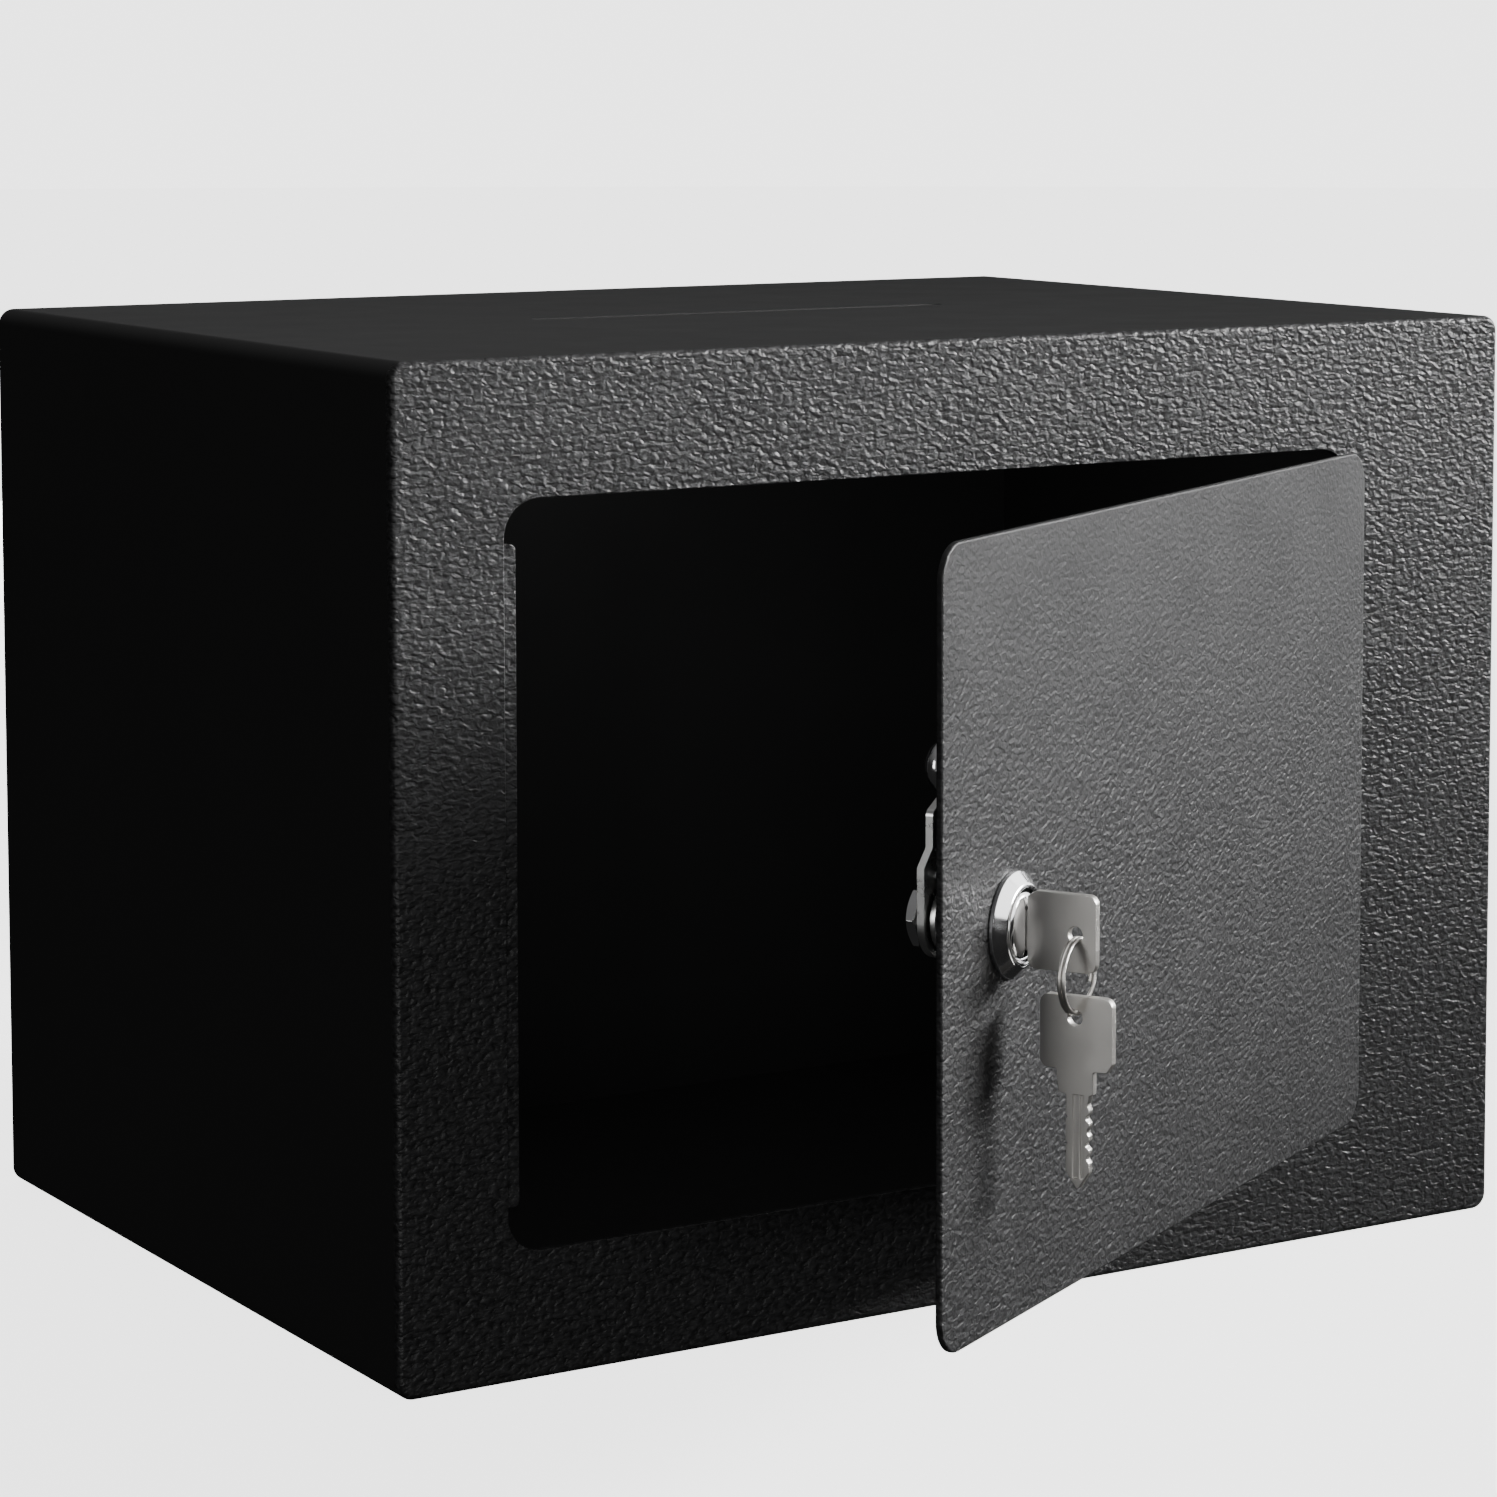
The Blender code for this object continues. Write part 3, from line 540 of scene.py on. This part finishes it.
def bead(name, start, end, radius, matrix, body, look):
    """A short weld bead: a rippled, tapering ridge between two points."""
    start, end = Vector(start), Vector(end)
    run = end - start
    side = run.orthogonal().normalized()
    other = run.normalized().cross(side)
    steps, sides = 36, 12
    ripples, ripple_height, taper_rate = 6, 0.10, 6
    loops = []
    for i in range(1, steps):
        t = i / steps
        taper = min(1.0, taper_rate * min(t, 1 - t)) ** 0.5
        r = radius * taper * (1 + ripple_height * sin(tau * ripples * t))
        middle = start + run * t
        loops.append([
            middle + side * r * cos(tau * k / sides) + other * r * sin(tau * k / sides)
            for k in range(sides)
        ])
    settle(raw(name, loft(loops, False)), matrix, body, look, None)


def back_welds():
    """Tack welds that hold the back plate in the sleeve, painted over."""
    low, high = (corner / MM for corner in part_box("back_panel"))
    y, half, radius = high.y + 0.1, 7, 1.15
    tops = [(x, z) for x in (-75.0, 0.0, 75.0) for z in (low.z, high.z)]
    for number, (x, z) in enumerate(tops):
        bead(f"back_weld_{number}", (x - half, y, z), (x + half, y, z), radius, IDENTITY,
             "cabinet", SATIN)
    sides = [(x, z) for x in (low.x, high.x) for z in (45.0, 125.0)]
    for number, (x, z) in enumerate(sides):
        bead(f"side_weld_{number}", (x, y, z - half), (x, y, z + half), radius, IDENTITY,
             "cabinet", SATIN)


def strip_and_keeper():
    """The strip that the closed door's edge meets, and the bent lip that the cam turns behind."""
    strip = soften(copy_of_node("strike_strip", "strike_strip_painted"), 0.12)
    settle(strip, IDENTITY, "cabinet", PEEL, ["strike_strip"])
    keeper = soften(copy_of_node("latch_keeper", "latch_keeper_bent"), 0.35)
    settle(keeper, IDENTITY, "cabinet", SATIN, ["latch_keeper"])


ARM_SHEET, SEAM = 1.2, 0.3


def hinges():
    """Brackets and headed pins on the cabinet, and the curved arms on the door."""
    pin_head = 1.1
    for which in ("upper", "lower"):
        bracket = soften(copy_of_node(f"hinge_bracket_{which}", f"bracket_{which}"), 0.2)
        settle(bracket, IDENTITY, "cabinet", SATIN, [f"hinge_bracket_{which}"])
        arm = soften(copy_of_node(f"hinge_arm_{which}", f"gooseneck_{which}"), 0.2)
        settle(arm, IDENTITY, "door", SATIN, [f"hinge_arm_{which}"])
        low, high = (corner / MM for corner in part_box(f"hinge_pin_{which}"))
        tip, top = low.z, high.z
        seat = top - pin_head
        profile = [(0.6, tip), (0.9, tip + 0.15), (1.0, tip + 0.4), (1.0, seat), (1.75, seat),
                   (1.9, seat + 0.12), (1.9, seat + 0.5), (1.7, seat + 0.85),
                   (1.2, seat + 1.03), (0.5, top)]
        settle(raw(f"pin_{which}", turned(profile, 48)), Matrix.Translation(PIVOT), "cabinet",
               ZINC, [f"hinge_pin_{which}"])
        flange_weld(which, (tip + seat) / 2)


def flange_weld(which, height):
    """Two low plug-weld buttons on each hinge arm's flange."""
    face = DOOR_FRONT + DOOR_SHEET + SEAM + ARM_SHEET
    for number, x in enumerate((-24.0, -16.0)):
        profile = [(2.1, -0.1), (2.0, 0.12), (1.6, 0.3), (0.9, 0.38), (0.3, 0.4)]
        button = raw(f"weld_button_{which}_{number}", turned(profile, 32))
        stand = Matrix.Translation((x, face, height)) @ Matrix.Rotation(-pi / 2, 4, "X")
        settle(button, DOOR_FRAME @ stand, "door", SATIN, None)


# Door --------------------------------------------------------------------------------------


def door_skin():
    """The plate door with rounded edges and the lock's double-D hole."""
    edge = quarter_round(0.4, 5)
    section = [(inset_round(DOOR, DOOR_R, inset), DOOR_FRONT + setback)
               for inset, setback in edge]
    section += [(inset_round(DOOR, DOOR_R, inset), DOOR_FRONT + DOOR_SHEET - setback)
                for inset, setback in reversed(edge)]
    skin = raw("door_skin", loft(along_y(section), False))
    hole_r, hole_flat, reach = 6.5, 5.9, 5
    hole = [(x + LOCK_IN_DOOR.x, z + LOCK_IN_DOOR.z)
            for x, z in flatted_circle(hole_r, hole_flat)]
    cutter = prism(hole, DOOR_FRONT - reach, DOOR_FRONT + reach, "XZ")
    combine(skin, ("DIFFERENCE", cutter))
    settle(skin, DOOR_FRAME, "door", THIN_PEEL, ["door_panel"])


def threaded(outer, start, end, pitch, depth):
    """(radius, z) pairs of a V-grooved thread between two heights."""
    count = int(abs(end - start) / pitch)
    step = (end - start) / count
    points = []
    for i in range(count):
        points += [(outer, start + step * (i + 0.12)), (outer, start + step * (i + 0.38)),
                   (outer - depth, start + step * (i + 0.70)),
                   (outer - depth, start + step * (i + 0.80))]
    return points


def nut(across_flats, low, high, bore, matrix, body, look, replaces, name):
    """Hexagon nut with turned chamfers and a countersunk bore."""
    blank = raw(name, prism(hexagon(across_flats), low, high))
    corner, rim = across_flats / sqrt(3), across_flats / 2 * 0.97
    drop, clear = (corner - rim) * 0.5, 0.05
    cone = turned([(rim, low), (corner + clear, low + drop), (corner + clear, high - drop),
                   (rim, high)])
    mouth, sink, beyond = bore + 0.45, 0.4, 0.2
    hole = turned([(mouth, low - beyond), (bore, low + sink), (bore, high - sink),
                   (mouth, high + beyond)])
    combine(blank, ("INTERSECT", cone), ("DIFFERENCE", hole))
    soften(blank, 0.06, 2)
    settle(blank, matrix, body, look, replaces)


def stud_and_cap():
    """Chrome cap nut over a threaded stud welded to the back of the door."""
    stud_low, stud_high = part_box("weld_stud")
    middle = (stud_low + stud_high) / 2 / MM
    place = DOOR_FRAME.inverted() @ middle
    local = Matrix.Translation((place.x, DOOR_FRONT, place.z)) @ Matrix.Rotation(pi / 2, 4, "X")
    matrix = DOOR_FRAME @ local
    profile = [(3.1, -1.25), (3.0, -1.75), (2.5, -1.95), (1.9, -2.2)]
    profile += threaded(1.9, -2.3, -4.8, 0.7, 0.25) + [(1.5, -5.0)]
    settle(raw("threaded_stud", turned(profile, 48)), matrix, "door", ZINC, ["weld_stud"])
    seat, shoulder, crown, radius, across_flats = -2.5, -4.2, -7.4, 4.3, 8.8
    blank = raw("domed_nut", prism(hexagon(across_flats), shoulder, seat))
    clear = across_flats / sqrt(3) + 0.05
    cone = turned([(4.35, shoulder), (clear, shoulder + 0.45), (clear, seat - 0.25),
                   (4.6, seat)])
    dome = [(radius - 0.1, shoulder + 0.5), (radius, shoulder - 0.05)]
    for i in range(1, 16):
        turn = pi / 2 * i / 16
        dome.append((radius * cos(turn), shoulder + (crown - shoulder) * sin(turn)))
    bore = turned([(2.6, seat + 0.2), (2.2, seat - 0.3), (2.2, -5.7)])
    combine(blank, ("INTERSECT", cone), ("UNION", turned(dome)), ("DIFFERENCE", bore))
    settle(blank, matrix, "door", CHROME, ["cap_nut"], sharp=30)


# Lock --------------------------------------------------------------------------------------


def barrel():
    """Bezel: polished cone, bright groove ring and recess. Shank: threaded with two flats."""
    profile = [(4.3, -10.4), (5.9, -10.4)]
    profile += threaded(6.2, -10.1, -0.6, 0.95, 0.3)
    profile += [(6.0, -0.3), (6.0, 0.02)]
    profile += [(8.25, 0.02), (8.4, 0.15), (8.4, 0.62), (8.33, 0.82), (8.15, 0.96)]
    profile += [(6.72, 2.24), (6.55, 2.36), (6.34, 2.42), (6.28, 2.30), (6.20, 2.30),
                (6.14, 2.46), (5.95, 2.50), (5.80, 2.46), (5.75, 2.36)]
    profile += [(5.75, 1.0), (4.45, 1.0), (4.3, 0.85)]
    body = raw("lock_bezel", turned(profile, 128, bored=True))
    flat, beyond = 5.6, 8.0
    cuts = []
    for side in (-1, 1):
        low, high = sorted((side * flat, side * beyond))
        cuts.append(("DIFFERENCE", box((low, -9, -12), (high, 9, -0.05))))
    combine(body, *cuts)
    settle(body, LOCK_FRAME, "door", CHROME, ["lock_barrel"], sharp=25)


def tooth_washer():
    """Shakeproof washer: a ring with square teeth round its rim."""
    teeth, steps, back, front = 18, 6, -2.2, -1.5
    tip, root, tip_steps = 8.6, 7.4, 4
    inner = circle(6.5, teeth * steps)
    outer = []
    for i in range(teeth * steps):
        turn = tau * i / (teeth * steps)
        radius = tip if i % steps < tip_steps else root
        outer.append((radius * cos(turn), radius * sin(turn)))
    mesh = loft(along_z([(inner, back), (outer, back), (outer, front), (inner, front)]), True)
    settle(soften(raw("tooth_washer", mesh), 0.06, 2), LOCK_FRAME, "door", ZINC,
           ["lock_washer"])


def plug():
    """Turning core with its domed face, keyway, wafer slots and flatted, threaded tail."""
    profile = [(2.8, -16.5)] + threaded(3.1, -16.3, -13.3, 0.6, 0.2)
    profile += [(3.5, -13.2), (3.5, -10.6), (4.0, -10.6), (4.0, 1.3), (5.35, 1.3), (5.45, 1.4)]
    profile += [(5.45, 1.75), (5.38, 2.0), (5.2, 2.2), (4.92, 2.4), (4.6, 2.55), (4.2, 2.67),
                (3.8, 2.74), (3.3, 2.79), (2.6, 2.8), (1.2, 2.8)]
    core = raw("plug_core", turned(profile, 112))
    keyway, mouth = 1.05, 5
    cuts = [("DIFFERENCE", box((-keyway, -2.25, -15.8), (keyway, 2.25, mouth))),
            ("DIFFERENCE", box((-keyway, -4.6, -1.3), (keyway, 3.1, mouth)))]
    flat, beyond, tail_top = 2.8, 6.0, -10.6
    for side in (-1, 1):
        low, high = sorted((side * flat, side * beyond))
        cuts.append(("DIFFERENCE", box((low, -6, -19), (high, 6, tail_top))))
    wafer, half = 2.2, 0.6
    for depth in (-2.4, -4.4, -6.4, -8.4):
        cuts.append(("DIFFERENCE", box((-wafer, -6, depth - half), (wafer, 6, depth + half))))
    combine(core, *cuts)
    settle(core, LOCK_FRAME, "lock_core", CHROME, ["lock_plug"], sharp=25)


def lock_back():
    """Nuts, washers, wafers and the cam."""
    nut(16.0, -5.5, -2.5, 6.5, LOCK_FRAME, "door", ZINC, ["lock_nut"], "barrel_nut")
    nut(8.8, -16.2, -14.4, 3.4, LOCK_FRAME, "lock_core", CHROME, ["cam_nut"],
        "cam_hex_nut")
    softened = (("stop_washer", "stop_washer_fine", ZINC, "zinc_steel", 0.1),
                ("lock_cam", "cam_bar", ZINC, "zinc_steel", 0.16))
    for node, name, look, slot, width in softened:
        piece = soften(copy_of_node(node, name), width)
        settle(piece, IDENTITY, "lock_core", look, [node])
    for number in range(1, 5):
        piece = soften(copy_of_node(f"wafer_{number}", f"brass_wafer_{number}"), 0.05, 2)
        settle(piece, IDENTITY, "lock_core", BRASS, [f"wafer_{number}"])
    spring_washer()


def spring_washer():
    """Split spring washer: its two ends are twisted apart."""
    inner, outer, front, back, steps = 3.4, 4.7, -13.65, -14.05, 72
    half_gap, twist = 0.08, 0.1
    loops = []
    for i in range(steps + 1):
        turn = half_gap + (tau - 2 * half_gap) * i / steps
        lift = twist * (i / steps - 0.5)
        loops.append([
            (r * cos(turn), r * sin(turn), z + lift)
            for r, z in ((inner, back), (outer, back), (outer, front), (inner, front))
        ])
    washer = soften(raw("split_washer", loft(loops, False)), 0.06, 2)
    settle(washer, LOCK_FRAME, "lock_core", ZINC, ["cam_spring_washer"])


# Keys --------------------------------------------------------------------------------------

# A key lies in (u, w): u from the bow's end to the blade's tip, w across the bow. The seated
# key's u starts at SEAT_Z, measured out from the door's face.
BOW_LENGTH, BOW_LOW, BOW_HIGH = 11.6, -6.4, 5.8
KEY_LENGTH, BLADE_HALF, KEY_HALF = 30.1, 1.95, 0.75
NECK_END, NECK_LOW, NECK_HIGH = 15.2, -3.6, 2.6
HOLE_U, HOLE_W, HOLE_R = 3.45, -0.46, 1.25
SEAT_Z = 14.6


def key_outline():
    """Outline of the blank: bow with round corners, neck, blade with cuts and a pointed tip."""
    corner, fillet = 1.5, 0.4
    points = arc((corner, BOW_LOW + corner), corner, pi, 3 * pi / 2, 10)
    points += arc((BOW_LENGTH - corner, BOW_LOW + corner), corner, -pi / 2, 0, 10)
    points += arc((BOW_LENGTH + fillet, NECK_LOW - fillet), fillet, pi, pi / 2, 4)
    points += [(NECK_END, NECK_LOW + 0.4), (NECK_END + 0.3, -BLADE_HALF)]
    start, tip, pitch = NECK_END + 0.6, KEY_LENGTH - 2.6, 2.1
    upper, lower = [], []
    for i in range(int((tip - start) / pitch)):
        middle = start + pitch * (i + 0.5)
        depth = 0.55 * (0.4 + 0.6 * (i * 3 % 5) / 4)
        upper += [(middle - 0.7, BLADE_HALF), (middle - 0.25, BLADE_HALF - depth),
                  (middle + 0.25, BLADE_HALF - depth), (middle + 0.7, BLADE_HALF)]
        if i % 2:
            lower += [(middle - 0.4, -BLADE_HALF), (middle, 0.3 - BLADE_HALF),
                      (middle + 0.4, -BLADE_HALF)]
    points += lower
    points += [(tip, -BLADE_HALF), (KEY_LENGTH, -0.15), (KEY_LENGTH, 0.25), (tip, BLADE_HALF)]
    points += upper[::-1]
    points += [(NECK_END + 0.3, BLADE_HALF), (NECK_END, NECK_HIGH)]
    points += arc((BOW_LENGTH + fillet, NECK_HIGH + fillet), fillet, -pi / 2, -pi, 4)
    points += [(BOW_LENGTH, BOW_HIGH - 0.9), (BOW_LENGTH - 1.4, BOW_HIGH)]
    points += arc((corner, BOW_HIGH - corner), corner, pi / 2, pi, 10)
    return points


def key(name, origin, along, across, body, node):
    """A flat key; along and across are the directions of u and w in the lock's frame."""
    blank = raw(name, prism(key_outline(), -KEY_HALF, KEY_HALF))
    hole = prism(circle(HOLE_R, 48, (HOLE_U, HOLE_W)), -3, 3)
    groove_depth = 0.33
    grooves = []
    for side, w, half in ((1, -0.35, 0.42), (1, 0.75, 0.28), (-1, 0.35, 0.42)):
        low, high = sorted((side * (KEY_HALF - groove_depth), side * (KEY_HALF + 1)))
        grooves.append(("DIFFERENCE", box((NECK_END + 0.2, w - half, low),
                                          (KEY_LENGTH - 1.6, w + half, high))))
    combine(blank, ("DIFFERENCE", hole), *grooves)
    soften(blank, 0.13, 3)
    along, across = Vector(along), Vector(across)
    turn = Matrix((along, across, along.cross(across))).transposed().to_4x4()
    matrix = LOCK_FRAME @ Matrix.Translation(origin) @ turn
    settle(blank, matrix, body, NICKEL, [node])


RING_R, WIRE_R = 5.76, 0.33
RING_Z = SEAT_Z - HOLE_U
HOLE_PLAY = 0.2
RING_TOP = HOLE_W + HOLE_PLAY + WIRE_R - HOLE_R


def ring():
    """Split ring: two flat turns of wire side by side, joined by a short ramp."""
    steps, ramp, sides, first_turn = 120, 15, 16, -0.35
    pitch = 2 * WIRE_R + 0.04
    centre = Vector((0.0, RING_TOP - RING_R, RING_Z))
    loops = []
    for i in range(2 * steps - ramp + 1):
        turn = first_turn + tau * i / steps
        rise = min(max((i - (steps - ramp)) / ramp, 0.0), 1.0)
        shift = pitch * (rise * rise * (3 - 2 * rise) - 0.5)
        out = Vector((cos(turn), sin(turn), 0.0))
        loops.append([
            centre + out * (RING_R + WIRE_R * cos(tau * k / sides))
            + Vector((0, 0, shift + WIRE_R * sin(tau * k / sides)))
            for k in range(sides)
        ])
    settle(raw("key_ring", loft(loops, False)), LOCK_FRAME, "ring", NICKEL, ["split_ring"])


def keys():
    """One key in the lock, the ring through its bow, and the spare key hanging from it."""
    key("seated_key_blank", (0, 0, SEAT_Z), (0, 0, -1), (0, 1, 0), "seated_key", "key_1")
    spare_hole = RING_TOP - 2 * RING_R + WIRE_R + HOLE_PLAY - HOLE_R
    origin = (0, spare_hole + HOLE_U, RING_Z - HOLE_W)
    key("spare_key_blank", origin, (0, -1, 0), (0, 0, 1), "spare_key", "key_2")
    ring()


# Stage -------------------------------------------------------------------------------------


def camera():
    """The photo's view: tilted down a little, from the front left, with its crop as a shift."""
    tilt, heading = 0.0896, -0.5625
    data = bpy.data.cameras.new("camera")
    view = bpy.data.objects.new("camera", data)
    bpy.context.scene.collection.objects.link(view)
    view.location = (-0.4291, -0.7199, 0.2208)
    view.rotation_euler = (pi / 2 - tilt, 0.0, heading)
    data.sensor_width = 36.0
    data.lens = 106.7
    data.shift_x = -0.0678
    data.shift_y = -0.2054
    data.clip_start = 0.01
    bpy.context.scene.camera = view


def floor():
    """A pale floor that glows for the camera alone, so that it lights nothing."""
    look = Look("pale_floor", (0.80, 0.80, 0.795), roughness=0.6, specular=0.3)
    look.vary_colour(look.noise(3.0, detail=3.0), 0.3, 0.7, (0.79, 0.79, 0.785))
    look.set("Emission Color", (1.0, 1.0, 1.0, 1.0))
    look.set("Emission Strength", 2.9)
    bm = bmesh.new()
    bmesh.ops.create_circle(bm, cap_ends=True, radius=6000.0, segments=96)
    ground = raw("floor", bm)
    ground.data.transform(Matrix.Scale(MM, 4))
    ground.data.materials.append(look.material)
    ground.visible_diffuse = ground.visible_glossy = False


def softbox(name, place, aim, size, power, spread=180, glossy=True, only=None):
    """An area light in metres, watts and degrees. only limits it to one collection's pieces,
    and glossy says whether it is seen in reflections."""
    data = bpy.data.lights.new(name, "AREA")
    data.shape = "RECTANGLE"
    data.size, data.size_y = size
    data.energy = power
    data.spread = radians(spread)
    lamp = bpy.data.objects.new(name, data)
    bpy.context.scene.collection.objects.link(lamp)
    lamp.visible_camera = False
    lamp.visible_glossy = glossy
    lamp.light_linking.receiver_collection = only
    lamp.location = place
    lamp.rotation_euler = (Vector(aim) - Vector(place)).to_track_quat("-Z", "Y").to_euler()


def plated_pieces():
    """The bright metal pieces, which have cards of their own to reflect."""
    group = bpy.data.collections.new("plated_pieces")
    for thing in bpy.data.objects:
        if any(slot.material in (CHROME, ZINC, NICKEL) for slot in thing.material_slots):
            group.objects.link(thing)
    return group


def lighting():
    """Two narrow lights rake the front, weak ones fill the rest, and cards shine in the metal."""
    metal = plated_pieces()
    above_door, near_lock = (0.0, -0.10, 0.325), (-0.05, -0.16, 0.09)
    narrow = 36
    softbox("key_light", (1.08, -0.68, 0.62), above_door, (0.5, 0.5), 2.6, narrow)
    softbox("second_key", (1.24, -0.44, 0.62), above_door, (0.5, 0.5), 1.6, narrow)
    softbox("side_light", (2.3, -0.9, 0.9), (0.0, -0.1, 0.12), (1.0, 0.9), 3.2)
    softbox("top_light", (0.2, 0.3, 2.2), (0.0, 0.0, 0.1), (1.4, 1.4), 1.8)
    softbox("left_light", (-1.1, -1.7, 0.35), (-0.02, -0.1, 0.09), (0.8, 0.8), 5.0)
    softbox("front_light", (-0.25, -2.0, 0.14), (-0.02, 0.0, 0.08), (0.9, 0.3), 4.0)
    softbox("rear_light", (0.3, 1.3, 0.20), (0.0, 0.08, 0.08), (0.7, 0.4), 12.0, glossy=False)
    softbox("inside_light", (0.0, -0.055, 0.155), (0.0, 0.08, 0.05), (0.16, 0.03), 0.03)
    softbox("edge_card", (-1.8, -0.25, 0.45), (-0.05, -0.15, 0.09), (0.9, 0.8), 12.0, only=metal)
    softbox("front_card", (0.7, -1.4, 1.0), near_lock, (2.2, 1.3), 26.0, only=metal)
    softbox("right_card", (1.6, -0.1, 0.7), near_lock, (1.2, 1.2), 16.0, only=metal)
    studio_world()


def studio_world():
    """A pale backdrop for the camera; a dim room, brighter overhead, for everything else."""
    world = bpy.data.worlds.new("studio")
    bpy.context.scene.world = world
    world.use_nodes = True
    tree = world.node_tree
    background = tree.nodes["Background"]
    place = tree.nodes.new("ShaderNodeTexCoord")
    split = tree.nodes.new("ShaderNodeSeparateXYZ")
    ramp = tree.nodes.new("ShaderNodeMapRange")
    choose = tree.nodes.new("ShaderNodeMix")
    path = tree.nodes.new("ShaderNodeLightPath")
    room, backdrop = (choose.inputs[index] for index in MIX_NUMBERS)
    backdrop.default_value = 3.2
    dim, overhead = 0.018, 0.22
    for socket, value in (("From Min", 0.1), ("From Max", 1.0),
                          ("To Min", dim), ("To Max", overhead)):
        ramp.inputs[socket].default_value = value
    tree.links.new(place.outputs["Generated"], split.inputs["Vector"])
    tree.links.new(split.outputs["Z"], ramp.inputs["Value"])
    tree.links.new(path.outputs["Is Camera Ray"], choose.inputs[MIX_FACTOR])
    tree.links.new(ramp.outputs["Result"], room)
    tree.links.new(choose.outputs[MIX_NUMBER_OUT], background.inputs["Strength"])
    background.inputs["Color"].default_value = (1.0, 1.0, 1.0, 1.0)


def main():
    front_frame()
    sleeve()
    back_plate()
    back_welds()
    strip_and_keeper()
    hinges()
    door_skin()
    stud_and_cap()
    barrel()
    tooth_washer()
    plug()
    lock_back()
    keys()
    floor()
    lighting()
    camera()


main()
